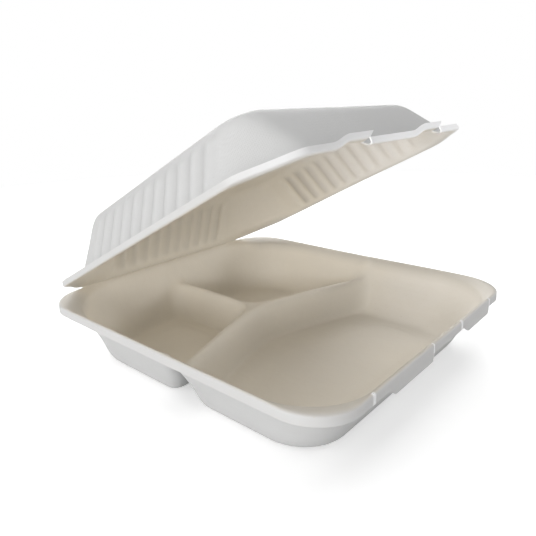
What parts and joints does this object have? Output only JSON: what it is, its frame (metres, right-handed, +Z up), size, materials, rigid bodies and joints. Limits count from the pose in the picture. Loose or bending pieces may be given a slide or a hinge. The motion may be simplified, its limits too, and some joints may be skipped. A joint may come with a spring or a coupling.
{
  "type": "fiber meal box",
  "caption": "Square moulded plant-fibre meal box with a divided tray and a ribbed lid joined along one crease.",
  "frame": {"origin": "middle of the square footprint, on the flat foot that the tray stands on", "axes": "+Z up, -Y towards the latch side, +Y towards the crease, +X to the right as seen from the latch side"},
  "size_m": [0.228, 0.2302, 0.1668],
  "materials": {
    "fibre": "matte moulded plant fibre, off-white, smooth inside and finely speckled outside"
  },
  "bodies": {
    "tray": {"tray": "fibre"},
    "lid": {"lid": "fibre"}
  },
  "joints": [
    {"name": "lid_crease", "type": "hinge", "parent": "tray", "child": "lid", "pos_m": [0, 0.1143, 0.04], "axis": [-1, 0, 0], "range_deg": [-28.2, 151.7]}
  ]
}
